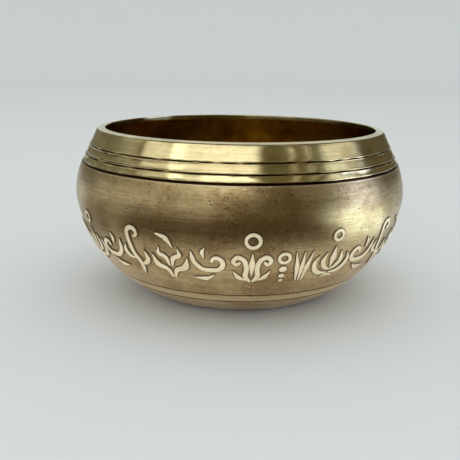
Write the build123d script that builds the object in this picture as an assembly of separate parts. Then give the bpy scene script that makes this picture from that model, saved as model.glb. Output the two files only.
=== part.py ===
from build123d import *
import os
from math import atan2, cos, pi, radians, sin, sqrt, tan

# Singing bowl: one brass casting, turned on a lathe, with a raised frieze round its belly.
# Millimetres, +Z up, origin on the bowl's axis at the plane of its foot.

# ---- driving dimensions -------------------------------------------------------------
belly_radius = 55.0        # widest point of the bowl
belly_height = 34.5        # height of the widest point above the foot
shoulder_radius = 23.0     # arc from the widest point up to the collar
waist_radius = 14.1        # tight arc just under the widest point
waist_turn = 9.4           # degrees that the tight arc turns through
foot_radius = 29.64        # where the long arc of the flank meets the plane of the foot
collar_lean = 26.7         # degrees between the collar cone and the axis
lip_height = 54.7          # outer edge of the lip
lip_rise = 0.4             # the lip climbs this much from its outer to its inner edge
lip_width = 2.6            # outer to inner edge of the lip
mouth_land = 1.5           # straight turned band just inside the mouth
wall = 2.5                 # belly and collar wall
floor = 3.0                # bottom
floor_blend = 6.0          # inside corner between floor and wall
foot_round = 0.8           # edge of the foot
lip_round = 0.35           # both edges of the lip

# Turned lines: height, width and depth of each V groove. The collar's are measured from the foot
# of its cone, where the lowest one parts collar from belly; the base's from the foot plane.
collar_grooves = [(5.18, 0.50, 0.30), (2.18, 0.55, 0.34), (-0.14, 0.85, 0.50)]
base_grooves = [(10.1, 0.70, 0.20), (7.0, 0.80, 0.22)]

# Frieze: equal repeats round the belly, each drawn on a plane that touches the belly
repeats = 4
frieze_drop = 13.4         # middle of the main band below the belly's widest point
frieze_below = 12.0        # the ornament's space below that middle
frieze_above = 19.4        # and above it, with the rings
relief = 0.32              # how far the ornament stands proud of the belly
drawn_repeat = 80.7        # length of one repeat as drawn
stroke_weight = 1.15       # how much heavier the strokes are than drawn

# ---- outer profile, in the plane of radius and height ---------------------------------
lean = radians(collar_lean)
turn = radians(waist_turn)
shoulder_centre = (belly_radius - shoulder_radius, belly_height)
waist_centre = (belly_radius - waist_radius, belly_height)
waist_foot = (waist_centre[0] + waist_radius * cos(turn), waist_centre[1] - waist_radius * sin(turn))
flank_run = (foot_radius - waist_foot[0], -waist_foot[1])
flank_radius = -(flank_run[0]**2 + flank_run[1]**2) / 2 / (flank_run[0] * cos(turn) - flank_run[1] * sin(turn))
flank_centre = (waist_foot[0] - flank_radius * cos(turn), waist_foot[1] + flank_radius * sin(turn))
collar_foot = (shoulder_centre[0] + shoulder_radius * cos(lean),
               shoulder_centre[1] + shoulder_radius * sin(lean))


def on_arc(centre, radius, angle):
    """Point of an arc, angle in radians from the outward horizontal."""
    return (centre[0] + radius * cos(angle), centre[1] + radius * sin(angle))


def outer_point(height):
    """Radius of the outer surface and the lean of its normal at one height."""
    if height > collar_foot[1]:
        return collar_foot[0] - (height - collar_foot[1]) * tan(lean), lean
    if height > belly_height:
        angle = atan2(height - belly_height, sqrt(shoulder_radius**2 - (height - belly_height)**2))
        return on_arc(shoulder_centre, shoulder_radius, angle)[0], angle
    centre, radius = flank_centre, flank_radius
    if height > waist_foot[1]:
        centre, radius = waist_centre, waist_radius
    drop = height - centre[1]
    angle = atan2(drop, sqrt(radius**2 - drop**2))
    return on_arc(centre, radius, angle)[0], angle


def turned_body(offset, low, top):
    """Solid of revolution whose side is the bowl's outer profile moved out by offset."""
    shoulder = shoulder_radius + offset
    waist = waist_radius + offset
    flank = flank_radius + offset
    drop = low - flank_centre[1]
    end_angle = -atan2(-drop, sqrt(flank**2 - drop**2))
    end = on_arc(flank_centre, flank, end_angle)
    joint = on_arc(waist_centre, waist, -turn)
    widest = (belly_radius + offset, belly_height)
    cone_foot = on_arc(shoulder_centre, shoulder, lean)
    cone_top = (cone_foot[0] - (top - cone_foot[1]) * tan(lean), top)
    edges = [
        Line((0, low), end),
        ThreePointArc(end, on_arc(flank_centre, flank, (end_angle - turn) / 2), joint),
        ThreePointArc(joint, on_arc(waist_centre, waist, -turn / 2), widest),
        ThreePointArc(widest, on_arc(shoulder_centre, shoulder, lean / 2), cone_foot),
        Line(cone_foot, cone_top),
        Line(cone_top, (0, top)),
        Line((0, top), (0, low)),
    ]
    outline = Plane.XZ * make_face(Curve() + edges)
    return revolve(outline, axis=Axis.Z)


def ring_cut(points):
    """Solid of revolution of a small closed outline."""
    return revolve(Plane.XZ * make_face(Polyline(*points, close=True)), axis=Axis.Z)


def groove(height, width, depth):
    """V groove cut square into the outer surface at one height."""
    radius, angle = outer_point(height)
    out = (cos(angle), sin(angle))
    along = (-sin(angle), cos(angle))
    clear = 0.2
    spread = width / 2 * (depth + clear) / depth
    corners = []
    for side in (-spread, spread):
        corners.append((radius + out[0] * clear + along[0] * side, height + out[1] * clear + along[1] * side))
    corners.append((radius - out[0] * depth, height - out[1] * depth))
    return ring_cut(corners)


# ---- vessel -----------------------------------------------------------------------------
inner_height = lip_height + lip_rise
lip_radius = outer_point(lip_height)[0]
mouth_radius = lip_radius - lip_width
outside = turned_body(0, 0, inner_height)
cavity_top = inner_height - mouth_land
cavity = turned_body(-wall, floor, cavity_top)
cavity_corner = cavity.edges().filter_by(GeomType.CIRCLE).sort_by(Axis.Z)[0]
cavity = fillet(cavity_corner, floor_blend)
mouth = Cylinder(mouth_radius, mouth_land + wall + 1, align=(Align.CENTER, Align.CENTER, Align.MIN))
cavity_mouth_radius = outer_point(cavity_top)[0] - wall / cos(lean)
under_land = Cone(cavity_mouth_radius, mouth_radius, cavity_mouth_radius - mouth_radius,
                  align=(Align.CENTER, Align.CENTER, Align.MIN))
above = 2.0
lip_cut = ring_cut([
    (mouth_radius - above, inner_height + lip_rise * above / (lip_radius - mouth_radius)),
    (lip_radius + above, lip_height - lip_rise * above / (lip_radius - mouth_radius)),
    (lip_radius + above, inner_height + above),
    (mouth_radius - above, inner_height + above),
])
vessel = outside - cavity - Pos(0, 0, cavity_top - wall) * mouth - Pos(0, 0, cavity_top) * under_land
vessel -= lip_cut
top_edges = vessel.edges().filter_by(GeomType.CIRCLE).sort_by(Axis.Z)[-2:]
vessel = fillet(top_edges, lip_round)
foot_edge = vessel.edges().filter_by(GeomType.CIRCLE).sort_by(Axis.Z)[0]
vessel = fillet(foot_edge, foot_round)
for above_cone_foot, width, depth in collar_grooves:
    vessel -= groove(collar_foot[1] + above_cone_foot, width, depth)
for height, width, depth in base_grooves:
    vessel -= groove(height, width, depth)
vessel = vessel.solid()

# ---- frieze -------------------------------------------------------------------------------
# Each ornament is a few tapered strokes, rings and pearls, drawn flat: x along the band to the
# right, y up the belly, both from the ornament's own centre.
frieze_height = belly_height - frieze_drop
frieze_radius, frieze_lean = outer_point(frieze_height)
ornament_scale = 2 * pi * frieze_radius / repeats / drawn_repeat
skin = turned_body(relief, frieze_height - frieze_below, frieze_height + frieze_above)
skin -= turned_body(0, 0, inner_height)


def stroke(points, *widths):
    """Tapered brush stroke along a smooth line; widths are spread evenly along it."""
    line = Spline(*points)
    steps = 2 * len(points)
    left = []
    right = []
    for step in range(steps + 1):
        share = step / steps
        place = share * (len(widths) - 1)
        first = min(int(place), len(widths) - 2)
        half = (widths[first] + (widths[first + 1] - widths[first]) * (place - first)) * stroke_weight / 2
        centre = line @ share
        way = line % share
        side = Vector(-way.Y, way.X) * half
        left.append(centre + side)
        right.append(centre - side)
    edges = [Spline(*left), Line(left[-1], right[-1]), Spline(*right), Line(left[0], right[0])]
    return make_face(Curve() + edges)


def ring(centre, outer, inner):
    """Flat ring."""
    return Pos(*centre) * (Circle(outer) - Circle(inner))


def pearl(centre, radius):
    """Round bead."""
    return Pos(*centre) * Circle(radius)


def curl(centre, start, end, first, sweep, count=7):
    """Points of a spiral whose radius goes from start to end, turning by sweep degrees."""
    points = []
    for step in range(count):
        share = step / (count - 1)
        radius = start + (end - start) * share
        angle = radians(first + sweep * share)
        points.append((centre[0] + radius * cos(angle), centre[1] + radius * sin(angle)))
    return points


def flipped(points):
    return [(-x, y) for x, y in points]


def lotus_bud():
    inner = [(0.35, -2.7), (2.1, -1.5), (3.1, 0.7), (2.5, 3.6)]
    outer = [(0.7, -4.1), (3.2, -3.8), (5.2, -2.1), (5.9, 0.5), (5.1, 2.6)]
    shapes = [stroke([(0, -1.9), (0, 1.6), (0, 5.4)], 0.3, 2.0, 0.2)]
    for petal, widths in ((inner, (0.7, 1.5, 1.4, 0.2)), (outer, (0.7, 1.4, 1.5, 1.2, 0.2))):
        shapes.append(stroke(petal, *widths))
        shapes.append(stroke(flipped(petal), *widths))
    shapes.append(stroke([(-2.0, -5.5), (0, -4.95), (2.0, -5.5)], 0.3, 1.0, 0.3))
    shapes.append(ring((0, 9.0), 2.0, 1.0))
    return shapes


def vine_scroll(side):
    head = curl((-1.8, 1.7), 0.9, 3.2, 30, 262) + [(1.9, -0.9), (4.1, 1.4), (4.9, 5.0)]
    leaf = [(-1.3, -3.1), (1.0, -4.7), (4.4, -4.6)]
    bud = [(1.3, 3.2), (1.6, 4.9), (0.9, 6.4)]
    shapes = []
    for points, widths in ((head, (0.9, 1.2, 1.3, 1.4, 1.4, 1.4, 1.3, 1.3, 1.2, 0.2)),
                           (leaf, (0.3, 1.5, 0.2)), (bud, (0.3, 1.2, 0.2))):
        shapes.append(stroke(points if side > 0 else flipped(points), *widths))
    return shapes


def tendril():
    head = curl((0.5, 8.2), 0.8, 2.4, -60, 250) + [(-1.5, 4.6), (-0.9, 1.4), (0.6, -2.0), (0.4, -6.2)]
    left = [(-1.1, -0.4), (-2.9, 0.0), (-4.1, 1.7), (-3.6, 4.0)]
    right = [(0.7, -2.2), (2.6, -1.6), (3.9, 0.3), (3.3, 2.9)]
    return [stroke(head, 0.9, 1.1, 1.2, 1.2, 1.2, 1.3, 1.4, 1.4, 1.2, 0.2),
            stroke(left, 0.5, 1.3, 1.3, 0.2), stroke(right, 0.5, 1.4, 1.3, 0.2)]


def leaf_pair():
    low = [(0.4, -5.2), (1.5, -2.5), (4.3, -1.1), (5.5, 2.3)]
    high = [(0.45, -0.7), (1.2, 1.9), (3.2, 3.1), (2.9, 5.3)]
    shapes = [stroke([(-3.2, 9.4), (-0.3, 8.3), (1.6, 5.6)], 0.4, 1.4, 0.2)]
    for leaf, widths in ((low, (0.7, 1.4, 1.9, 0.2)), (high, (0.6, 1.3, 1.3, 0.2))):
        shapes.append(stroke(leaf, *widths))
        shapes.append(stroke(flipped(leaf), *widths))
    return shapes


def palmette():
    volute = [(0.5, -5.3), (1.7, -3.2), (1.5, -0.4), (2.2, 2.5), (4.1, 3.6), (5.3, 2.2), (4.4, 1.0), (3.6, 1.7)]
    sepal = [(1.3, -4.9), (3.5, -3.9), (5.2, -1.4)]
    shapes = [stroke([(0, -2.8), (0, 0.9), (0, 5.0)], 0.3, 1.7, 0.2), ring((0, 8.8), 2.5, 1.4)]
    for leaf, widths in ((volute, (0.8, 1.4, 1.3, 1.3, 1.3, 1.1, 0.9)), (sepal, (0.4, 1.4, 0.2))):
        shapes.append(stroke(leaf, *widths))
        shapes.append(stroke(flipped(leaf), *widths))
    return shapes


def pearl_drop():
    return [ring((0, 3.1), 2.1, 1.0), pearl((0, -0.8), 1.15), pearl((0, -3.4), 0.85), pearl((0, -5.3), 0.6)]


def reed_spray():
    shapes = []
    for foot, middle, tip in ((-0.9, -1.5, -2.6), (0, 0, 0), (0.9, 1.5, 2.6)):
        shapes.append(stroke([(foot, -5.6), (middle, -0.6), (tip, 4.8)], 0.4, 1.3, 0.2))
    return shapes


reach = 6.0                # how far behind its drawing plane the belly falls away at most


def raised(shapes, azimuth):
    """Ornament pressed through the skin round the belly at one azimuth from the front."""
    flat = shapes[0]
    for shape in shapes[1:]:
        flat = flat + shape
    out = Vector(sin(radians(azimuth)), -cos(radians(azimuth)), 0)
    along = Vector(cos(radians(azimuth)), sin(radians(azimuth)), 0)
    normal = out * cos(frieze_lean) + Vector(0, 0, sin(frieze_lean))
    place = Plane(origin=out * frieze_radius + Vector(0, 0, frieze_height), x_dir=along, z_dir=normal)
    drawn = place * scale(flat, ornament_scale)
    prism = extrude(drawn, amount=2 * relief) + extrude(drawn, amount=-reach)
    pressed = prism & skin
    return [solid for solid in pressed.solids() if solid.volume > 0.001]


# Name, place of its first copy along the drawn repeat, counted from the front, and its shapes
ornaments = [
    ("lotus_buds", [(-52.5, lotus_bud())]),
    ("vine_scrolls", [(-41.0, vine_scroll(1)), (-8.1, vine_scroll(-1))]),
    ("tendrils", [(-30.7, tendril())]),
    ("leaf_pairs", [(-19.4, leaf_pair())]),
    ("palmettes", [(3.9, palmette())]),
    ("pearl_drops", [(12.8, pearl_drop())]),
    ("reed_sprays", [(18.5, reed_spray())]),
]
nodes = {"vessel": [vessel]}
for name, placed in ornaments:
    solids = []
    for along_repeat, shapes in placed:
        for solid in raised(shapes, along_repeat / drawn_repeat * 360 / repeats):
            for repeat in range(repeats):
                solids.append(Rot(0, 0, 360 / repeats * repeat) * solid)
    nodes[name] = solids

# ---- files ----------------------------------------------------------------------------------
os.makedirs("parts", exist_ok=True)
for name, solids in nodes.items():
    shape = solids[0] if len(solids) == 1 else Compound(children=solids)
    export_step(shape, f"parts/{name}.step")
    print(name, len(solids), "solids", round(sum(solid.volume for solid in solids), 1), "mm3")
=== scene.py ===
from math import cos, pi, radians, sin, sqrt, tan

import bpy
import numpy as np
from mathutils import Matrix, Vector


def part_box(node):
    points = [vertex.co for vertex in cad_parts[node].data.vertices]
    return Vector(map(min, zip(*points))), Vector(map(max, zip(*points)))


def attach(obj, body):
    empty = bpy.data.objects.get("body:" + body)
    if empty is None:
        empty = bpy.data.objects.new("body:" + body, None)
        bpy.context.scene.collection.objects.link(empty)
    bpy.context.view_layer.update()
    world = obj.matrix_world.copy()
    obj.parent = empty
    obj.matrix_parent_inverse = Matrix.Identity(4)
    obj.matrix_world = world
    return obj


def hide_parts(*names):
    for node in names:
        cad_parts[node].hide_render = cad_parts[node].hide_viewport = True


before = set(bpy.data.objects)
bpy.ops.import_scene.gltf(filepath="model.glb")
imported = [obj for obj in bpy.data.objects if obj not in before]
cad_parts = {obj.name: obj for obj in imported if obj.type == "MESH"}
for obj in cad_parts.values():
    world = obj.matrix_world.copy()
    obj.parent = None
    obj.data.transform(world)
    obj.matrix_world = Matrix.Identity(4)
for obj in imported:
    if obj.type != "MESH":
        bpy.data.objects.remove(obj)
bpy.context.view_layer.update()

# ---- Camera ---------------------------------------------------------------------------
# A close, slightly raised view square on to the front of the bowl, with the bowl a little
# to the right of the middle. Angles are in degrees.
camera_distance = 0.231
camera_height = 0.0779
camera_tilt = 14.39
camera_pan = 0.735
camera_roll = 0.80
camera_lens = 53.05
camera_data = bpy.data.cameras.new("camera")
camera_data.lens = camera_lens
camera_data.sensor_width = 36.0
camera_data.clip_start = 0.01
camera = bpy.data.objects.new("camera", camera_data)
camera.location = (0, -camera_distance, camera_height)
aim = (
    Matrix.Rotation(radians(camera_pan), 3, "Z")
    @ Matrix.Rotation(radians(90 - camera_tilt), 3, "X")
    @ Matrix.Rotation(radians(camera_roll), 3, "Z")
)
camera.rotation_euler = aim.to_euler()
bpy.context.scene.collection.objects.link(camera)
bpy.context.scene.camera = camera
bpy.context.scene.view_settings.view_transform = "Standard"

# ---- Vessel ---------------------------------------------------------------------------
# The bowl itself: one sand-cast shell of high-tin brass, turned inside and out on a lathe.
# The collar is left bright from the tool, the belly is antiqued and rubbed back, and the
# inside is left dark. Three V grooves ring the collar and two broader ones ring the base.
mm = 0.001
vessel_low, vessel_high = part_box("vessel")
belly_radius = vessel_high.x
belly_height = 34.5 * mm
shoulder_radius = 23.0 * mm
waist_radius = 14.1 * mm
waist_turn = radians(9.4)
foot_radius = 29.64 * mm
collar_lean = radians(26.7)
lip_height = 54.7 * mm
lip_rise = 0.4 * mm
lip_width = 2.6 * mm
mouth_land = 1.5 * mm
wall = 2.5 * mm
floor_thickness = 3.0 * mm
floor_blend = 6.0 * mm
foot_round = 0.8 * mm
lip_round = 0.35 * mm

shoulder_centre = np.array([belly_radius - shoulder_radius, belly_height])
waist_centre = np.array([belly_radius - waist_radius, belly_height])
waist_normal = np.array([cos(waist_turn), -sin(waist_turn)])
waist_foot = waist_centre + waist_radius * waist_normal
flank_run = np.array([foot_radius, 0.0]) - waist_foot
flank_radius = -(flank_run @ flank_run) / 2 / (flank_run @ waist_normal)
flank_centre = waist_foot - flank_radius * waist_normal
collar_foot = shoulder_centre + shoulder_radius * np.array([cos(collar_lean), sin(collar_lean)])
foot_turn = np.arcsin(flank_centre[1] / flank_radius)
flank_length = flank_radius * (foot_turn - waist_turn)
waist_length = waist_radius * waist_turn
shoulder_length = shoulder_radius * collar_lean
collar_length = (lip_height - collar_foot[1]) / cos(collar_lean)
belly_length = flank_length + waist_length + shoulder_length


def outside(walk):
    """Points and normals of the outer profile, for distances walked up it from the foot."""
    turn = np.where(
        walk < flank_length,
        walk / flank_radius - foot_turn,
        np.where(
            walk < flank_length + waist_length,
            (walk - flank_length) / waist_radius - waist_turn,
            np.clip((walk - flank_length - waist_length) / shoulder_radius, 0, collar_lean),
        ),
    )
    normal = np.stack([np.cos(turn), np.sin(turn)], -1)
    in_flank = (walk < flank_length)[..., None]
    in_waist = (walk < flank_length + waist_length)[..., None]
    upper = np.where(
        in_waist, waist_centre + waist_radius * normal, shoulder_centre + shoulder_radius * normal
    )
    points = np.where(in_flank, flank_centre + flank_radius * normal, upper)
    past = np.maximum(walk - belly_length, 0)[..., None]
    points = points + past * np.array([-sin(collar_lean), cos(collar_lean)])
    return points, normal


def walk_at(height):
    """Distance up the outer profile at which it reaches a height."""
    walks = np.linspace(0, belly_length + collar_length, 4000)
    return np.interp(height, outside(walks)[0][:, 1], walks)


def wander(azimuth, seed, slowest, fastest):
    """Smooth closed noise round the axis, mostly between -1 and 1."""
    chance = np.random.default_rng(seed)
    total = np.zeros_like(azimuth)
    for turns in range(slowest, fastest + 1):
        total = total + chance.normal() * np.cos(turns * azimuth + chance.uniform(0, 2 * pi))
    return total / sqrt(fastest - slowest + 1)


# Height, width, depth and raggedness of each turned groove
collar_grooves = [
    (collar_foot[1] + 5.18 * mm, 0.50 * mm, 0.32 * mm, 0.60),
    (collar_foot[1] + 2.18 * mm, 0.56 * mm, 0.36 * mm, 0.55),
    (collar_foot[1] - 0.14 * mm, 0.86 * mm, 0.60 * mm, 0.22),
]
base_grooves = [(10.1 * mm, 0.90 * mm, 0.38 * mm, 0.15), (7.0 * mm, 1.00 * mm, 0.44 * mm, 0.15)]
# Faint second cuts where the tool was set in twice, over part of the way round, in degrees
stray_cuts = [
    (collar_foot[1] + 4.62 * mm, 0.34 * mm, 0.26 * mm, -52, 26),
    (collar_foot[1] + 2.80 * mm, 0.34 * mm, 0.24 * mm, -50, 24),
    (collar_foot[1] + 0.62 * mm, 0.30 * mm, 0.20 * mm, -44, 20),
]
burr_height = 0.05 * mm
wobble = 0.05 * mm
knock_depth = 0.25 * mm


def groove_depth(walk, azimuth):
    """How far the turned grooves cut in, less the burr that the tool throws up beside them."""
    depth = np.zeros(np.broadcast(walk, azimuth).shape)
    for number, (height, width, cut, ragged) in enumerate(collar_grooves + base_grooves):
        middle = walk_at(height) + wander(azimuth, 10 + number, 2, 24) * width * ragged * 0.16
        away = np.abs(walk - middle) / (width / 2)
        bite = 1 + ragged * wander(azimuth, 30 + number, 3, 60)
        depth = depth + cut * np.clip(bite, 0.25, 1.6) * np.clip(1 - away, 0, 1)
        rough = np.clip(wander(azimuth, 50 + number, 8, 90), 0, 2) * ragged * 2
        depth = depth - burr_height * (0.5 + rough) * np.exp(-(((away - 1.25) / 0.3) ** 2))
    for number, (height, width, cut, towards, spread) in enumerate(stray_cuts):
        drift = wander(azimuth, 90 + number, 1, 9) * width * 0.4
        away = np.abs(walk - walk_at(height) - drift) / (width / 2)
        turned = (azimuth - radians(towards) + pi) % (2 * pi) - pi
        chatter = 0.7 + 0.3 * wander(azimuth, 95 + number, 10, 80)
        fading = np.exp(-((turned / radians(spread)) ** 2)) * chatter
        depth = depth + cut * np.clip(fading, 0, 1) * np.clip(1 - away, 0, 1)
    return depth


# The walk is sampled closely across each groove and loosely between them
coarse_rows = 62
coarse = np.linspace(0.0, belly_length + collar_length - lip_round, coarse_rows)
across_groove = np.linspace(-0.9, 0.9, 13)
across_stray = np.linspace(-0.8, 0.8, 7)
fine = [walk_at(cut[0]) + across_groove * cut[1] for cut in collar_grooves + base_grooves]
fine += [walk_at(cut[0]) + across_stray * cut[1] for cut in stray_cuts]
outer_walk = np.unique(np.concatenate([coarse] + fine))
outer_points, outer_normals = outside(outer_walk)



def bend(start, corner, end, t):
    """Point of the curve that rounds a corner, t from 0 to 1."""
    return (1 - t) ** 2 * start + 2 * t * (1 - t) * corner + t * t * end


lip_outer = outside(np.array(belly_length + collar_length))[0]
mouth_radius = lip_outer[0] - lip_width
lip_inner = np.array([mouth_radius, lip_height + lip_rise])
lip_slope = (lip_inner - lip_outer) / np.linalg.norm(lip_inner - lip_outer)
inner_shoulder = shoulder_radius - wall
inner_flank = flank_radius - wall
land_foot = lip_height + lip_rise - mouth_land
cone_radius = (
    collar_foot[0] - (land_foot - collar_foot[1]) * tan(collar_lean) - wall / cos(collar_lean)
)
cavity_top = np.array([cone_radius, land_foot - (cone_radius - mouth_radius)])
floor_turn = np.arcsin((flank_centre[1] - floor_thickness - floor_blend * 0.55) / inner_flank)
cavity_turns = np.concatenate([np.linspace(collar_lean, 0, 8), np.linspace(-waist_turn, -floor_turn, 20)])
cavity_points = []
for turn in cavity_turns:
    centre = shoulder_centre if turn >= 0 else flank_centre
    radius = inner_shoulder if turn >= 0 else inner_flank
    cavity_points.append(centre + radius * np.array([cos(turn), sin(turn)]))
floor_edge = np.array([cavity_points[-1][0] - floor_blend * 0.8, floor_thickness])
floor_corner = floor_edge + np.array([floor_blend * 0.42, 0])
blend = [bend(cavity_points[-1], floor_corner, floor_edge, t) for t in np.linspace(0.15, 1, 8)]

foot_flat = np.array([foot_radius - foot_round, 0.0])
underside = [np.array([r, 0.0]) for r in np.linspace(0.0005, foot_flat[0], 5)]
lip_top_start = lip_outer + lip_slope * lip_round
lip_top_end = lip_inner - lip_slope * lip_round
lip_start = outer_points[-1]
outline = list(underside)
foot_corner = np.array([foot_radius, 0.0])
foot_end = outside(np.array(foot_round))[0]
outline += [bend(foot_flat, foot_corner, foot_end, t) for t in np.linspace(0.15, 0.85, 5)]
first_outer = len(outline)
kept = outer_walk > foot_round
outline += list(outer_points[kept])
last_outer = len(outline)
outline += [bend(lip_start, lip_outer, lip_top_start, t) for t in np.linspace(0.2, 1, 5)]
first_lip = len(outline)
outline += [lip_top_start + (lip_top_end - lip_top_start) * t for t in np.linspace(0.15, 1, 7)]
lip_end = lip_inner - np.array([0, lip_round])
outline += [bend(lip_top_end, lip_inner, lip_end, t) for t in np.linspace(0.2, 1, 5)]
outline += [np.array([mouth_radius, h]) for h in np.linspace(lip_end[1], land_foot, 8)[1:]]
last_land = len(outline)
outline += [cavity_top] + cavity_points + blend
outline += [np.array([r, floor_thickness]) for r in np.linspace(floor_edge[0], 0.0005, 6)[1:]]
outline = np.array(outline)
steps = np.linalg.norm(np.diff(outline, axis=0), axis=1)
meridian = np.concatenate([[0], np.cumsum(steps)])

azimuth_count = 440
azimuths = np.linspace(0, 2 * pi, azimuth_count, endpoint=False)
ring_points = np.repeat(outline[:, None, :], azimuth_count, axis=1)
walk_grid = outer_walk[kept][:, None]
normal_grid = outer_normals[kept][:, None, :]
depth = groove_depth(walk_grid, azimuths[None, :])
ring_points[first_outer:last_outer] -= normal_grid * depth[..., None]
# The collar was trued last, so only the belly keeps the slow waver of the casting
waver = np.clip((belly_length - walk_grid) / (10 * mm), 0, 1) * wander(azimuths, 5, 2, 5)[None, :]
sunk = wobble * (0.5 + 0.5 * waver) * (waver != 0)
ring_points[first_outer:last_outer] -= normal_grid * sunk[..., None]
# Small knocks along the outer edge of the lip
knocks = np.clip(wander(azimuths, 77, 20, 120) - 1.3, 0, 1) * knock_depth
for row in range(last_outer - 1, first_lip + 1):
    ring_points[row, :, 1] -= knocks

rows = len(outline)
x = ring_points[..., 0] * np.sin(azimuths)
y = -ring_points[..., 0] * np.cos(azimuths)
vertices = np.stack([x, y, ring_points[..., 1]], -1).reshape(-1, 3)


def lathe_faces(rows, columns):
    """Quads of a closed ring grid, facing out when the rows climb the outside."""
    row, column = np.meshgrid(np.arange(rows - 1), np.arange(columns), indexing="ij")
    after = (column + 1) % columns
    low, high = row * columns, (row + 1) * columns
    return np.stack([low + column, low + after, high + after, high + column], -1).reshape(-1, 4)


def mesh_object(name, vertices, faces, meridians, soot_and_shade, rub_and_highlight):
    """Smooth mesh with what its finishes read: the lathe's own direction, soot with painted shade, and
    rubbing with a painted highlight.
    """
    mesh = bpy.data.meshes.new(name)
    mesh.from_pydata(vertices.tolist(), [], faces if isinstance(faces, list) else faces.tolist())
    mesh.polygons.foreach_set("use_smooth", np.ones(len(mesh.polygons), bool))
    lathe = mesh.attributes.new("lathe", "FLOAT_VECTOR", "POINT")
    radius = np.maximum(np.hypot(vertices[:, 0], vertices[:, 1]), 1e-6)
    lathe.data.foreach_set(
        "vector", np.stack([vertices[:, 0] / radius, vertices[:, 1] / radius, meridians], -1).ravel()
    )
    for mark, values in (("soot_and_shade", soot_and_shade), ("rub_and_highlight", rub_and_highlight)):
        mesh.attributes.new(mark, "FLOAT", "POINT").data.foreach_set("value", values)
    mesh.update()
    piece = bpy.data.objects.new(name, mesh)
    bpy.context.scene.collection.objects.link(piece)
    return piece


def node_group(name, inputs, outputs):
    """Empty shader node group with its sockets."""
    group = bpy.data.node_groups.new(name, "ShaderNodeTree")
    for socket, kind, value in inputs:
        made = group.interface.new_socket(socket, in_out="INPUT", socket_type=kind)
        if value is not None:
            made.default_value = value
    for socket, kind in outputs:
        group.interface.new_socket(socket, in_out="OUTPUT", socket_type=kind)
    return group, group.nodes.new("NodeGroupInput"), group.nodes.new("NodeGroupOutput")


def math_node(tree, kind, first, second=None):
    """Math node fed by sockets or numbers."""
    node = tree.nodes.new("ShaderNodeMath")
    node.operation = kind
    for slot, value in zip(node.inputs, (first, second)):
        if value is None:
            continue
        if isinstance(value, (int, float)):
            slot.default_value = value
        else:
            tree.links.new(value, slot)
    return node.outputs[0]


def noise_node(tree, place, scale, detail=3.0, roughness=0.55):
    """Noise texture on a vector socket; scale may be a number or a socket."""
    node = tree.nodes.new("ShaderNodeTexNoise")
    node.inputs["Detail"].default_value = detail
    node.inputs["Roughness"].default_value = roughness
    tree.links.new(place, node.inputs["Vector"])
    if isinstance(scale, (int, float)):
        node.inputs["Scale"].default_value = scale
    else:
        tree.links.new(scale, node.inputs["Scale"])
    return node.outputs["Fac"]


def remap(tree, value, low, high, to_low=0.0, to_high=1.0):
    """Map Range node with smooth ends."""
    node = tree.nodes.new("ShaderNodeMapRange")
    node.interpolation_type = "SMOOTHSTEP"
    tree.links.new(value, node.inputs["Value"])
    ends = {"From Min": low, "From Max": high, "To Min": to_low, "To Max": to_high}
    for socket, number in ends.items():
        node.inputs[socket].default_value = number
    return node.outputs["Result"]


def blend_colour(tree, share, first, second):
    """Mix of two colours, each a tuple or a socket."""
    node = tree.nodes.new("ShaderNodeMix")
    node.data_type = "RGBA"
    sockets = [s for s in node.inputs if s.enabled]
    for socket, value in zip(sockets, (share, first, second)):
        if isinstance(value, (int, float)):
            socket.default_value = value
        elif isinstance(value, tuple):
            socket.default_value = (*value, 1.0)
        else:
            tree.links.new(value, socket)
    return [s for s in node.outputs if s.enabled][0]


# Fine rings that a lathe tool and abrasive leave, along the lathe's own direction
turning, turning_in, turning_out = node_group(
    "turning_lines",
    [("Spacing", "NodeSocketFloat", 900.0), ("Streak Length", "NodeSocketFloat", 2.0)],
    [("Lines", "NodeSocketFloat"), ("Streaks", "NodeSocketFloat")],
)
lathe_place = turning.nodes.new("ShaderNodeAttribute")
lathe_place.attribute_name = "lathe"
parts_of = turning.nodes.new("ShaderNodeSeparateXYZ")
turning.links.new(lathe_place.outputs["Vector"], parts_of.inputs[0])
stretched = turning.nodes.new("ShaderNodeCombineXYZ")
for slot, stretch in enumerate(("Streak Length", "Streak Length", "Spacing")):
    scaled = math_node(turning, "MULTIPLY", parts_of.outputs[slot], turning_in.outputs[stretch])
    turning.links.new(scaled, stretched.inputs[slot])
for mark, scale, detail, roughness in (("Lines", 1.0, 4.0, 0.65), ("Streaks", 0.23, 3.0, 0.6)):
    texture = noise_node(turning, stretched.outputs[0], scale, detail, roughness)
    turning.links.new(texture, turning_out.inputs[mark])

# Cloudy tarnish, small casting pits and stray scratches of handling
ageing, ageing_in, ageing_out = node_group(
    "ageing",
    [("Cloud Size", "NodeSocketFloat", 70.0), ("Pit Spacing", "NodeSocketFloat", 900.0)],
    [(mark, "NodeSocketFloat") for mark in ("Clouds", "Mottle", "Grain", "Pits", "Scratches")],
)
place = ageing.nodes.new("ShaderNodeTexCoord").outputs["Object"]
age_marks = (("Clouds", 1, 4.0, 0.6), ("Mottle", 9, 3.0, 0.7), ("Grain", 32, 2.0, 0.6))
for mark, finer, detail, roughness in age_marks:
    scale = math_node(ageing, "MULTIPLY", ageing_in.outputs["Cloud Size"], finer)
    ageing.links.new(noise_node(ageing, place, scale, detail, roughness), ageing_out.inputs[mark])
cells = ageing.nodes.new("ShaderNodeTexVoronoi")
ageing.links.new(place, cells.inputs["Vector"])
ageing.links.new(ageing_in.outputs["Pit Spacing"], cells.inputs["Scale"])
near_cell = remap(ageing, cells.outputs["Distance"], 0.10, 0.34, 1.0, 0.0)
chosen = remap(ageing, noise_node(ageing, place, 260.0, 2.0, 0.5), 0.57, 0.64)
ageing.links.new(math_node(ageing, "MULTIPLY", near_cell, chosen), ageing_out.inputs["Pits"])
wisps = math_node(ageing, "SUBTRACT", noise_node(ageing, place, 95.0, 1.0, 0.5), 0.5)
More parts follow.
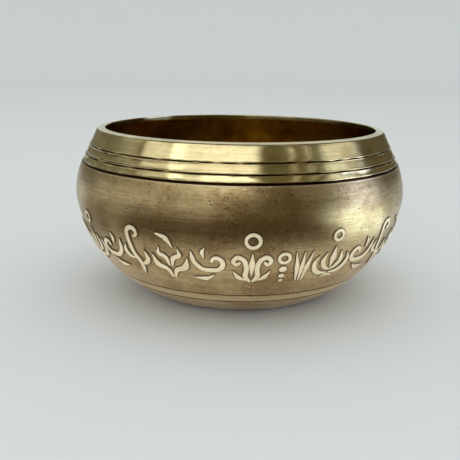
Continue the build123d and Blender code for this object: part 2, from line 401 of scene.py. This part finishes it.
hair = remap(ageing, math_node(ageing, "ABSOLUTE", wisps), 0.0, 0.009, 1.0, 0.0)
seldom = remap(ageing, noise_node(ageing, place, 210.0, 1.0, 0.5), 0.60, 0.65)
ageing.links.new(math_node(ageing, "MULTIPLY", hair, seldom), ageing_out.inputs["Scratches"])


def brass(name, anisotropy, line_spacing, streak_length, cloud_size):
    """Metallic Principled material with both shared effects in it."""
    material = bpy.data.materials.new(name)
    material.use_nodes = True
    tree = material.node_tree
    shader = tree.nodes["Principled BSDF"]
    shader.inputs["Metallic"].default_value = 1.0
    shader.inputs["Anisotropic"].default_value = anisotropy
    shader.inputs["Anisotropic Rotation"].default_value = 0.25
    lines = tree.nodes.new("ShaderNodeGroup")
    lines.node_tree = turning
    lines.inputs["Spacing"].default_value = line_spacing
    lines.inputs["Streak Length"].default_value = streak_length
    age = tree.nodes.new("ShaderNodeGroup")
    age.node_tree = ageing
    age.inputs["Cloud Size"].default_value = cloud_size
    return material, tree, shader, lines.outputs, age.outputs


def painted(tree, mark):
    """Value that the mesh carries under one name."""
    node = tree.nodes.new("ShaderNodeAttribute")
    node.attribute_name = mark
    return node.outputs["Fac"]


def stain(tree, colour, tint, mark, low, high, strength=1.0):
    """Colour with a tint laid over it where a mark is strong."""
    return blend_colour(tree, remap(tree, mark, low, high, 0.0, strength), colour, tint)


def tinge(tree, colour, tint, mark, strength):
    """Colour with a tint laid over it in proportion to a mark."""
    return blend_colour(tree, math_node(tree, "MULTIPLY", mark, strength), colour, tint)


def bump(tree, shader, height, strength, distance):
    """Bump node into the shader's Normal."""
    node = tree.nodes.new("ShaderNodeBump")
    node.inputs["Strength"].default_value = strength
    node.inputs["Distance"].default_value = distance
    tree.links.new(height, node.inputs["Height"])
    tree.links.new(node.outputs["Normal"], shader.inputs["Normal"])


# Collar: bright, straight off the tool
collar_brass, tree, shader, lines, age = brass("collar_brass", 0.8, 2600.0, 2.5, 90.0)
clean = (0.84, 0.755, 0.43)
dulled = (0.60, 0.50, 0.25)
colour = stain(tree, clean, dulled, age["Clouds"], 0.42, 0.68)
colour = stain(tree, colour, (0.48, 0.38, 0.18), lines["Streaks"], 0.50, 0.70, 0.45)
colour = stain(tree, colour, (0.50, 0.40, 0.19), lines["Lines"], 0.44, 0.66, 0.35)
colour = stain(tree, colour, (0.50, 0.40, 0.20), age["Mottle"], 0.50, 0.70, 0.30)
colour = blend_colour(tree, painted(tree, "soot_and_shade"), colour, (0.060, 0.026, 0.016))
tree.links.new(colour, shader.inputs["Base Color"])
tree.links.new(remap(tree, lines["Lines"], 0.3, 0.7, 0.11, 0.18), shader.inputs["Roughness"])
bump(tree, shader, lines["Lines"], 0.25, 0.00006)

# Belly: antiqued, then rubbed back round and round with fine abrasive
belly_brass, tree, shader, lines, age = brass("belly_brass", 0.35, 3000.0, 6.0, 60.0)
rubbed = (0.58, 0.46, 0.25)
antiqued = (0.37, 0.262, 0.118)
# Dark brown of the antiquing, also used for the painted shade round the foot
belly_soot_and_shade = (0.065, 0.034, 0.018)
colour = stain(tree, rubbed, antiqued, age["Clouds"], 0.40, 0.66)
colour = stain(tree, colour, (0.20, 0.14, 0.065), lines["Streaks"], 0.45, 0.75, 0.34)
colour = stain(tree, colour, (0.27, 0.19, 0.09), lines["Lines"], 0.42, 0.66, 0.40)
colour = stain(tree, colour, (0.70, 0.58, 0.36), age["Mottle"], 0.50, 0.72, 0.45)
grains = remap(tree, age["Grain"], 0.54, 0.66)
specks = math_node(tree, "MULTIPLY", grains, remap(tree, age["Clouds"], 0.42, 0.60))
colour = tinge(tree, colour, (0.15, 0.095, 0.045), specks, 0.85)
colour = tinge(tree, colour, (0.09, 0.05, 0.025), age["Pits"], 0.8)
colour = tinge(tree, colour, (0.74, 0.62, 0.38), age["Scratches"], 0.6)
# Rubbed edges, with a painted highlight under the collar and a painted reflection on the base ring
colour = tinge(tree, colour, (0.80, 0.68, 0.42), painted(tree, "rub_and_highlight"), 0.6)
# Antiquing in the grooves, and painted shade darkening the foot
colour = blend_colour(tree, painted(tree, "soot_and_shade"), colour, belly_soot_and_shade)
tree.links.new(colour, shader.inputs["Base Color"])
fine_rough = remap(tree, lines["Lines"], 0.3, 0.7, 0.25, 0.34)
cloud_rough = remap(tree, age["Clouds"], 0.4, 0.7, 0.0, 0.07)
tree.links.new(math_node(tree, "ADD", fine_rough, cloud_rough), shader.inputs["Roughness"])
pitting = math_node(tree, "MULTIPLY", age["Pits"], 1.2)
bump(tree, shader, math_node(tree, "SUBTRACT", lines["Lines"], pitting), 0.45, 0.00010)

# Inside: left dark brown from the casting heat, with faint tool rings
cavity_brass, tree, shader, lines, age = brass("cavity_brass", 0.2, 700.0, 2.0, 45.0)
shader.inputs["Specular Tint"].default_value = (0.50, 0.26, 0.08, 1)
colour = stain(tree, (0.60, 0.41, 0.095), (0.22, 0.105, 0.018), age["Clouds"], 0.38, 0.66)
colour = stain(tree, colour, (0.09, 0.05, 0.014), lines["Streaks"], 0.45, 0.75, 0.4)
tree.links.new(colour, shader.inputs["Base Color"])
tree.links.new(remap(tree, lines["Lines"], 0.3, 0.7, 0.26, 0.36), shader.inputs["Roughness"])
bump(tree, shader, lines["Lines"], 0.30, 0.00010)

vessel_faces = lathe_faces(rows, azimuth_count)
centre_low = len(vertices)
vertices = np.concatenate([vertices, [[0, 0, 0], [0, 0, floor_thickness]]])
caps = []
for column in range(azimuth_count):
    after = (column + 1) % azimuth_count
    caps.append([centre_low, after, column])
    caps.append([centre_low + 1, (rows - 1) * azimuth_count + column, (rows - 1) * azimuth_count + after])
soot_and_shade_rows = np.zeros((rows, azimuth_count))
soot_and_shade_rows[first_outer:last_outer] = np.clip(depth / (0.15 * mm), 0, 1)
# Soot is left in the grooves, and painted shade darkens the foot, more towards the bottom.
# The edges beside the grooves and the ring between the two base grooves are rubbed brightest,
# and the ring also carries a painted reflection. The fine line under the collar is a painted highlight.
foot_painted_shade = 0.5 * np.clip(1 - outline[:, 1] / base_grooves[1][0], 0, 1) * (np.arange(rows) < last_outer)
soot_and_shade_rows = np.maximum(soot_and_shade_rows, foot_painted_shade[:, None])
rub_and_highlight_rows = np.zeros((rows, azimuth_count))
edges = np.clip(-depth / burr_height, 0, 1)
# The ring between the base grooves is rubbed bright and is partly a painted reflection
above_low = np.clip((walk_grid - walk_at(base_grooves[1][0])) / (0.6 * mm), 0, 1)
below_high = np.clip((walk_at(base_grooves[0][0]) - walk_grid) / (1.6 * mm), 0, 1)
base_ring_rub_and_reflection = above_low * below_high
# Painted highlight: a fine catch light just under the collar's lowest groove
catch_light_line = walk_at(collar_grooves[2][0] - 0.55 * mm)
painted_catch_light = np.exp(-(((catch_light_line - walk_grid) / (0.2 * mm)) ** 2))
rub_and_highlight_rows[first_outer:last_outer] = np.clip(edges + base_ring_rub_and_reflection + painted_catch_light, 0, 1)
# The centre of the underside takes half of the painted shade
vessel_soot_and_shade = np.concatenate([soot_and_shade_rows.ravel(), [0.5, 0]])
vessel_rub_and_highlight = np.concatenate([rub_and_highlight_rows.ravel(), [0, 0]])
vessel_meridian = np.concatenate([np.repeat(meridian, azimuth_count), [meridian[0], meridian[-1]]])
vessel_faces = vessel_faces.tolist() + caps
vessel = mesh_object("vessel_shell", vertices, vessel_faces, vessel_meridian, vessel_soot_and_shade, vessel_rub_and_highlight)
for material in (belly_brass, collar_brass, cavity_brass):
    vessel.data.materials.append(material)
collar_start = first_outer + int(np.sum(outer_walk[kept] < walk_at(collar_grooves[2][0])))
finish_rows = np.zeros(rows - 1, int)
finish_rows[collar_start:last_land - 1] = 1
finish_rows[last_land - 1:] = 2
finish = np.concatenate([np.repeat(finish_rows, azimuth_count), np.tile([0, 2], azimuth_count)])
vessel.data.polygons.foreach_set("material_index", finish)
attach(vessel, "root")
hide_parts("vessel")

# ---- Lotus buds -----------------------------------------------------------------------
# First ornament of the frieze: a bud of five petals over a foot stroke, with a ring above.
# All the frieze is cast and chased in one metal with the wall, flat-topped and rubbed
# bright, and the dark antiquing stays in the corner round each stroke.
repeats = 4
frieze_drop = 13.4 * mm
drawn_repeat = 80.7
stroke_weight = 1.15
relief_height = 0.30 * mm
halo = 0.42
stroke_step = 0.28
frieze_walk = walk_at(belly_height - frieze_drop)
frieze_place, frieze_normal = outside(np.array(frieze_walk))
ornament_scale = 2 * pi * frieze_place[0] / repeats / (drawn_repeat * mm)


def smooth_line(points, step):
    """Evenly spaced points of a smooth curve through a few given ones."""
    points = np.array(points, float)
    ends = np.vstack([2 * points[0] - points[1], points, 2 * points[-1] - points[-2]])
    curve = []
    for index in range(1, len(ends) - 2):
        before, start, end, after = ends[index - 1:index + 3]
        for t in np.linspace(0, 1, 24, endpoint=False):
            curve.append(0.5 * (2 * start + (end - before) * t
                                + (2 * before - 5 * start + 4 * end - after) * t**2
                                + (3 * start - before - 3 * end + after) * t**3))
    curve.append(points[-1])
    curve = np.array(curve)
    run = np.concatenate([[0], np.cumsum(np.linalg.norm(np.diff(curve, axis=0), axis=1))])
    places = np.linspace(0, run[-1], max(int(run[-1] / step), 6))
    return np.stack([np.interp(places, run, curve[:, 0]), np.interp(places, run, curve[:, 1])], -1)


# Across a stroke: place as a share of the half width, share of the halo, height, soot
right_side = [
    (0.5, 0, 1.0, 0.0),
    (0.86, 0, 0.96, 0.12),
    (0.99, 0, 0.72, 0.75),
    (1, 0.04, 0.0, 1.0),
    (1, 0.35, 0.0, 0.75),
    (1, 1, 0.0, 0.0),
]
left_side = [(-across, -beyond, height, dark) for across, beyond, height, dark in reversed(right_side)]
section = left_side + [(0, 0, 1.0, 0.0)] + right_side
flange_columns = (0, 1, 10, 11)


def stroke_end(tip, way, half, sign):
    """Rows that round off one end of a stroke and its skirt, from the outside in."""
    rows = []
    for share in (1.0, 0.6, 0.25):
        rows.append((tip + sign * way * (half + halo * share), way, 0.0, halo * (1 - share) ** 0.5, 0.0))
    for share, top in ((1.0, 0.7), (0.8, 1.0), (0.4, 1.0)):
        rows.append((tip + sign * way * half * share, way, half * (1 - share**2) ** 0.5, halo, top))
    return rows


def stroke(points, *widths, closed=False):
    """One tapered stroke, drawn flat: its points, heights, soot, faces and which are flange."""
    line = smooth_line(points, stroke_step)
    share = np.linspace(0, 1, len(line))
    half = np.interp(share, np.linspace(0, 1, len(widths)), widths) * stroke_weight / 2
    way = np.gradient(line, axis=0)
    way /= np.linalg.norm(way, axis=1)[:, None]
    rows = [(place, direction, wide, halo, 1.0) for place, direction, wide in zip(line, way, half)]
    if not closed:
        rows = stroke_end(line[0], way[0], half[0], -1) + rows
        rows += reversed(stroke_end(line[-1], way[-1], half[-1], 1))
    flat, rise, soot_and_shade = [], [], []
    for place, direction, wide, skirt, top in rows:
        side = np.array([-direction[1], direction[0]])
        for across, beyond, height, dark in section:
            flat.append(place + side * (across * wide + beyond * skirt))
            rise.append(height * top)
            soot_and_shade.append(dark if top > 0 else (skirt / halo if abs(beyond) < 1 else 0.0))
    columns = len(section)
    faces, flange = [], []
    for row in range(len(rows) - 1):
        low_row = not closed and (row < 3 or row >= len(rows) - 4)
        for column in range(columns - 1):
            corner_low = row * columns + column
            faces.append([corner_low, corner_low + columns, corner_low + columns + 1, corner_low + 1])
            flange.append(low_row or column in flange_columns)
    return np.array(flat), np.array(rise), np.array(soot_and_shade), faces, flange


def ring(centre, outer, inner):
    """Ring stroke, a little uneven like the rest."""
    middle, wide = (outer + inner) / 2, outer - inner
    turns = np.radians(np.arange(0, 361, 15))
    points = []
    for t in turns:
        uneven = 1 + 0.03 * sin(2 * t + centre[1])
        points.append((centre[0] + middle * cos(t) * uneven, centre[1] + middle * sin(t)))
    wide = wide / stroke_weight
    return stroke(points, wide, wide * 0.92, wide, closed=True)


def pearl(centre, radius):
    """Low bead: a very short stroke whose ends are its two halves."""
    wide = 2 * radius / stroke_weight
    return stroke([(centre[0] - 0.02, centre[1]), (centre[0] + 0.02, centre[1])], wide, wide)


def curl(centre, start, end, first, sweep, count=7):
    """Points of a spiral whose radius goes from start to end, turning by sweep degrees."""
    shares = np.linspace(0, 1, count)
    radii = start + (end - start) * shares
    turns = np.radians(first + sweep * shares)
    return [(centre[0] + r * cos(t), centre[1] + r * sin(t)) for r, t in zip(radii, turns)]


def flipped(points):
    return [(-x, y) for x, y in points]


def pressed(flat, rise, azimuth):
    """Places on the belly of points drawn on the frieze's plane at one azimuth, and the
    distance that each has walked up the profile."""
    out = np.array([sin(azimuth), -cos(azimuth), 0])
    along = np.array([cos(azimuth), sin(azimuth), 0])
    normal = out * frieze_normal[0] + np.array([0, 0, frieze_normal[1]])
    up = np.cross(normal, along)
    origin = out * frieze_place[0] + np.array([0, 0, frieze_place[1]])
    drawn = flat * ornament_scale * mm
    start = origin + drawn[:, :1] * along + drawn[:, 1:] * up
    travel = np.zeros(len(flat))
    for _ in range(6):
        place = start + travel[:, None] * normal
        radius = np.hypot(place[:, 0], place[:, 1])
        spot = np.stack([radius, place[:, 2]], -1)
        turn = np.arctan2(spot[:, 1] - waist_centre[1], spot[:, 0] - waist_centre[0])
        in_flank, in_waist = turn < -waist_turn, turn < 0
        upper = np.where(in_waist[:, None], waist_centre, shoulder_centre)
        centre = np.where(in_flank[:, None], flank_centre, upper)
        size = np.where(in_flank, flank_radius, np.where(in_waist, waist_radius, shoulder_radius))
        away = spot - centre
        distance = np.linalg.norm(away, axis=1)
        slope = away / distance[:, None]
        level = place[:, :2] / radius[:, None] * slope[:, :1]
        outward = np.concatenate([level, slope[:, 1:]], 1)
        travel -= (distance - size - rise) / (outward @ normal)
    angle = np.arctan2(away[:, 1], away[:, 0])
    up_waist = flank_length + (angle + waist_turn) * waist_radius
    up_shoulder = flank_length + waist_length + angle * shoulder_radius
    walked = np.where(
        in_flank, (angle + foot_turn) * flank_radius, np.where(in_waist, up_waist, up_shoulder)
    )
    return start + travel[:, None] * normal, walked


# Relief: the same brass, rubbed bright on top and half matt from the rubbing
relief_brass, tree, shader, lines, age = brass("relief_brass", 0.0, 2200.0, 3.0, 150.0)
shader.inputs["Metallic"].default_value = 0.32
colour = stain(tree, (0.98, 0.86, 0.60), (0.86, 0.73, 0.46), age["Clouds"], 0.40, 0.70)
colour = stain(tree, colour, (0.58, 0.46, 0.26), age["Mottle"], 0.52, 0.72, 0.4)
colour = blend_colour(tree, painted(tree, "soot_and_shade"), colour, belly_soot_and_shade)
tree.links.new(colour, shader.inputs["Base Color"])
tree.links.new(remap(tree, lines["Lines"], 0.3, 0.7, 0.30, 0.42), shader.inputs["Roughness"])
bump(tree, shader, lines["Lines"], 0.25, 0.00006)

foot_meridian = float(np.interp(first_outer, np.arange(rows), meridian)) - foot_round


def ornament(name, node, placed):
    """All copies of one ornament as one piece on the belly, in place of its CAD node."""
    points, meridians, soots, faces, bright = [], [], [], [], []
    count = 0
    for along_repeat, strokes in placed:
        for copy in range(repeats):
            azimuth = (along_repeat / drawn_repeat + copy) * 2 * pi / repeats
            for layer, (flat, rise, soot_and_shade, quads, flange) in enumerate(strokes):
                skin = 0.010 * mm + 0.004 * mm * layer
                surface, walked = pressed(flat, skin + rise * (relief_height - skin), azimuth)
                points.append(surface)
                meridians.append(walked + foot_meridian)
                soots.append(soot_and_shade)
                faces += [[corner + count for corner in quad] for quad in quads]
                bright += [0 if low else 1 for low in flange]
                count += len(surface)
    soot_and_shade = np.concatenate(soots)
    unrubbed = np.zeros(len(soot_and_shade))
    piece = mesh_object(name, np.concatenate(points), faces, np.concatenate(meridians), soot_and_shade, unrubbed)
    piece.data.materials.append(belly_brass)
    piece.data.materials.append(relief_brass)
    piece.data.polygons.foreach_set("material_index", bright)
    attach(piece, "root")
    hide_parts(node)


inner_petal = [(0.35, -2.7), (2.1, -1.5), (3.1, 0.7), (2.5, 3.6)]
outer_petal = [(0.7, -4.1), (3.2, -3.8), (5.2, -2.1), (5.9, 0.5), (5.1, 2.6)]
lotus = [
    stroke([(0, -1.9), (0, 1.6), (0, 5.4)], 0.3, 2.0, 0.2),
    stroke(inner_petal, 0.7, 1.5, 1.4, 0.2),
    stroke(flipped(inner_petal), 0.7, 1.5, 1.4, 0.2),
    stroke(outer_petal, 0.7, 1.4, 1.5, 1.2, 0.2),
    stroke(flipped(outer_petal), 0.7, 1.4, 1.5, 1.2, 0.2),
    stroke([(-2.0, -5.5), (0, -4.95), (2.0, -5.5)], 0.3, 1.0, 0.3),
    ring((0, 9.0), 2.0, 1.0),
]
ornament("lotus_bud_relief", "lotus_buds", [(-52.5, lotus)])

# ---- Vine scrolls ---------------------------------------------------------------------
# A coiled shoot that sweeps up into a leaf, with a leaf under it and a bud over it. One
# faces each way in every repeat. Cast with the wall and rubbed bright like the buds.
shoot = curl((-1.8, 1.7), 0.9, 3.2, 30, 262) + [(1.9, -0.9), (4.1, 1.4), (4.9, 5.0)]
under_leaf = [(-1.3, -3.1), (1.0, -4.7), (4.4, -4.6)]
small_bud = [(1.3, 3.2), (1.6, 4.9), (0.9, 6.4)]


def vine_scroll(turned):
    facing = flipped if turned else list
    return [
        stroke(facing(shoot), 0.9, 1.2, 1.3, 1.4, 1.4, 1.4, 1.3, 1.3, 1.2, 0.2),
        stroke(facing(under_leaf), 0.3, 1.5, 0.2),
        stroke(facing(small_bud), 0.3, 1.2, 0.2),
    ]


ornament("vine_scroll_relief", "vine_scrolls", [(-41.0, vine_scroll(False)), (-8.1, vine_scroll(True))])

# ---- Tendrils -------------------------------------------------------------------------
# The tallest ornament: a stem that curls over at its top, with a leaf on each side of it.
# Cast with the wall and rubbed bright like the buds.
stem = curl((0.5, 8.2), 0.8, 2.4, -60, 250) + [(-1.5, 4.6), (-0.9, 1.4), (0.6, -2.0), (0.4, -6.2)]
tendril = [
    stroke(stem, 0.9, 1.1, 1.2, 1.2, 1.2, 1.3, 1.4, 1.4, 1.2, 0.2),
    stroke([(-1.1, -0.4), (-2.9, 0.0), (-4.1, 1.7), (-3.6, 4.0)], 0.5, 1.3, 1.3, 0.2),
    stroke([(0.7, -2.2), (2.6, -1.6), (3.9, 0.3), (3.3, 2.9)], 0.5, 1.4, 1.3, 0.2),
]
ornament("tendril_relief", "tendrils", [(-30.7, tendril)])

# ---- Leaf pairs -----------------------------------------------------------------------
# Two pairs of leaves on one stalk, with a single blown leaf above them. Cast with the
# wall and rubbed bright like the buds.
low_leaf = [(0.4, -5.2), (1.5, -2.5), (4.3, -1.1), (5.5, 2.3)]
high_leaf = [(0.45, -0.7), (1.2, 1.9), (3.2, 3.1), (2.9, 5.3)]
leaf_pair = [
    stroke([(-3.2, 9.4), (-0.3, 8.3), (1.6, 5.6)], 0.4, 1.4, 0.2),
    stroke(low_leaf, 0.7, 1.4, 1.9, 0.2),
    stroke(flipped(low_leaf), 0.7, 1.4, 1.9, 0.2),
    stroke(high_leaf, 0.6, 1.3, 1.3, 0.2),
    stroke(flipped(high_leaf), 0.6, 1.3, 1.3, 0.2),
]
ornament("leaf_pair_relief", "leaf_pairs", [(-19.4, leaf_pair)])

# ---- Palmettes ------------------------------------------------------------------------
# A centre leaf between two volutes and two short sepals, with the largest ring above.
# Cast with the wall and rubbed bright like the buds.
volute = [(0.5, -5.3), (1.7, -3.2), (1.5, -0.4), (2.2, 2.5), (4.1, 3.6), (5.3, 2.2), (4.4, 1.0), (3.6, 1.7)]
sepal = [(1.3, -4.9), (3.5, -3.9), (5.2, -1.4)]
palmette = [
    stroke([(0, -2.8), (0, 0.9), (0, 5.0)], 0.3, 1.7, 0.2),
    stroke(volute, 0.8, 1.4, 1.3, 1.3, 1.3, 1.1, 0.9),
    stroke(flipped(volute), 0.8, 1.4, 1.3, 1.3, 1.3, 1.1, 0.9),
    stroke(sepal, 0.4, 1.4, 0.2),
    stroke(flipped(sepal), 0.4, 1.4, 0.2),
    ring((0, 8.8), 2.5, 1.4),
]
ornament("palmette_relief", "palmettes", [(3.9, palmette)])

# ---- Pearl drops ----------------------------------------------------------------------
# A small ring over three beads that shrink downwards. Cast with the wall and rubbed bright.
pearl_drop = [
    ring((0, 3.1), 2.1, 1.0),
    pearl((0, -0.8), 1.15),
    pearl((0, -3.4), 0.85),
    pearl((0, -5.3), 0.6),
]
ornament("pearl_drop_relief", "pearl_drops", [(12.8, pearl_drop)])

# ---- Reed sprays ----------------------------------------------------------------------
# Three slim reeds fanned from one foot, which close each repeat. Cast with the wall and
# rubbed bright.
reed_spray = [
    stroke([(foot, -5.6), (middle, -0.6), (tip, 4.8)], 0.4, 1.3, 0.2)
    for foot, middle, tip in ((-0.9, -1.5, -2.6), (0, 0, 0), (0.9, 1.5, 2.6))
]
ornament("reed_spray_relief", "reed_sprays", [(18.5, reed_spray)])

# ---- Studio ---------------------------------------------------------------------------
# A plain pale floor that sweeps up to a backdrop all round, large soft lights, and dark and
# pale cards and rugs that only reflections show. None of it is part of the bowl.
cove_start = 1.5
cove_radius = 0.9
cove_turns = np.linspace(0, pi / 2, 14)
cove = [(0.001, 0.0), (0.3, 0.0), (0.8, 0.0)] + [
    (cove_start + cove_radius * sin(t), cove_radius * (1 - cos(t))) for t in cove_turns
]
cove_columns = 96
cove_azimuths = np.linspace(0, 2 * pi, cove_columns, endpoint=False)
cove_points = [(r * sin(a), -r * cos(a), z) for r, z in cove for a in cove_azimuths]
cove_mesh = bpy.data.meshes.new("studio_floor")
cove_mesh.from_pydata(cove_points, [], np.flip(lathe_faces(len(cove), cove_columns), 1).tolist())
cove_mesh.polygons.foreach_set("use_smooth", np.ones(len(cove_mesh.polygons), bool))
studio_floor = bpy.data.objects.new("studio_floor", cove_mesh)
bpy.context.scene.collection.objects.link(studio_floor)
floor_paint = bpy.data.materials.new("floor_paint")
floor_paint.use_nodes = True
paint = floor_paint.node_tree.nodes["Principled BSDF"]
paint.inputs["Base Color"].default_value = (0.74, 0.765, 0.76, 1)
paint.inputs["Roughness"].default_value = 0.9
paint.inputs["Specular IOR Level"].default_value = 0.1
cove_mesh.materials.append(floor_paint)


def softbox(name, azimuth, elevation, distance, width, height, power, tint=(1, 1, 1), feather=None):
    """Rectangular soft light that faces the bowl, placed by azimuth from the front. Feather
    gives the shares of its width over which it fades in from its left and right edges."""
    lamp = bpy.data.lights.new(name, "AREA")
    lamp.shape = "RECTANGLE"
    lamp.size, lamp.size_y = width, height
    lamp.energy = power
    lamp.color = tint
    held = bpy.data.objects.new(name, lamp)
    a, e = radians(azimuth), radians(elevation)
    back = Vector((sin(a) * cos(e), -cos(a) * cos(e), sin(e)))
    held.location = back * distance + Vector((0, 0, 0.04))
    held.rotation_euler = back.to_track_quat("Z", "Y").to_euler()
    held.visible_camera = False
    held.visible_diffuse = False
    bpy.context.scene.collection.objects.link(held)
    if feather:
        lamp.use_nodes = True
        tree = lamp.node_tree
        place = tree.nodes.new("ShaderNodeNewGeometry")
        across = tree.nodes.new("ShaderNodeSeparateXYZ")
        tree.links.new(place.outputs["Parametric"], across.inputs["Vector"])
        left, right = feather
        fade_in = remap(tree, across.outputs["Y"], 0.0, left)
        fade_out = remap(tree, across.outputs["Y"], 1.0, 1.0 - right)
        brightness = math_node(tree, "MULTIPLY", fade_in, fade_out)
        tree.links.new(brightness, tree.nodes["Emission"].inputs["Strength"])
    return held


def drape(name, first, last, near, far, low, high, shade, glow=0.0):
    """Curved cloth that only reflections show: a band of a cone from a near low edge to a far
    high one, between two azimuths from the front. Its glow stands for room light on it."""
    turns = np.radians(np.linspace(first, last, 25))
    points = [(r * sin(a), -r * cos(a), z) for a in turns for r, z in ((near, low), (far, high))]
    faces = [(2 * k, 2 * k + 1, 2 * k + 3, 2 * k + 2) for k in range(len(turns) - 1)]
    mesh = bpy.data.meshes.new(name)
    mesh.from_pydata(points, [], faces)
    held = bpy.data.objects.new(name, mesh)
    bpy.context.scene.collection.objects.link(held)
    cloth = bpy.data.materials.new(name + "_cloth")
    cloth.use_nodes = True
    shader = cloth.node_tree.nodes["Principled BSDF"]
    shader.inputs["Base Color"].default_value = (*shade, 1)
    shader.inputs["Roughness"].default_value = 1.0
    shader.inputs["Specular IOR Level"].default_value = 0.0
    shader.inputs["Emission Color"].default_value = (*shade, 1)
    shader.inputs["Emission Strength"].default_value = glow
    mesh.materials.append(cloth)
    held.visible_camera = False
    held.visible_diffuse = False
    held.visible_shadow = False


softbox("front_softbox", -22, 44, 0.75, 0.76, 0.50, 1.30, feather=(0.30, 0.03))
softbox("key_softbox", -7, 30, 0.70, 0.42, 0.18, 0.30, feather=(0.30, 0.10))
softbox("low_softbox", -48, 8, 0.70, 1.30, 0.26, 0.68)
softbox("left_softbox", -64, 35, 0.75, 0.40, 0.34, 0.42, feather=(0.60, 0.30))
softbox("left_edge", -98, 33, 0.75, 0.30, 0.34, 0.085, feather=(0.40, 0.40))
softbox("first_strip", 43, 43, 0.75, 0.014, 0.56, 0.034)
softbox("second_strip", 57, 40, 0.75, 0.006, 0.56, 0.026)
softbox("right_softbox", 86, 34, 0.70, 0.38, 0.24, 0.21, feather=(0.06, 0.40))
softbox("window", 86, 8, 0.60, 0.28, 0.26, 0.42, (0.82, 0.97, 1.55))
softbox("back_softbox", 180, 30, 0.9, 0.7, 0.5, 0.80, feather=(0.48, 0.48))
fill = softbox("fill_light", 0, 89, 1.2, 1.4, 1.4, 1.4)
front_fill = softbox("front_fill", -8, 8, 0.9, 0.8, 0.5, 2.8)
for lamp in (fill, front_fill):
    lamp.visible_glossy = False
    lamp.visible_diffuse = True
drape("left_card", -108, -64, 0.5, 0.5, 0.0, 0.13, (0.76, 0.73, 0.70), 0.06)
drape("left_rug", -114, -66, 0.078, 0.6, 0.001, 0.001, (0.34, 0.31, 0.27))
drape("front_rug", -66, 50, 0.078, 1.2, 0.001, 0.001, (0.105, 0.068, 0.032))
drape("front_drape", -92, 68, 1.2, 1.2, 0.0, 1.6, (0.21, 0.175, 0.105))
drape("left_drape", -160, -92, 1.2, 1.2, 0.0, 1.6, (0.24, 0.21, 0.16))
drape("right_drape", 100, 160, 1.2, 1.2, 0.0, 1.6, (0.15, 0.118, 0.078))
drape("window_sill", 57, 96, 0.090, 0.5, 0.0012, 0.0012, (0.80, 0.93, 1.0), 1.8)
drape("under_card", -180, 180, 0.032, 0.074, 0.0008, 0.0008, (0.84, 0.80, 0.76), 0.14)

world = bpy.data.worlds.new("studio_air")
bpy.context.scene.world = world
world.use_nodes = True
air = world.node_tree
background = air.nodes["Background"]
background.inputs["Color"].default_value = (0.86, 0.88, 0.875, 1)
ray = air.nodes.new("ShaderNodeLightPath")
reflected = air.nodes.new("ShaderNodeMapRange")
reflected.inputs["To Min"].default_value = 0.96
reflected.inputs["To Max"].default_value = 0.16
air.links.new(ray.outputs["Is Glossy Ray"], reflected.inputs["Value"])
air.links.new(reflected.outputs["Result"], background.inputs["Strength"])
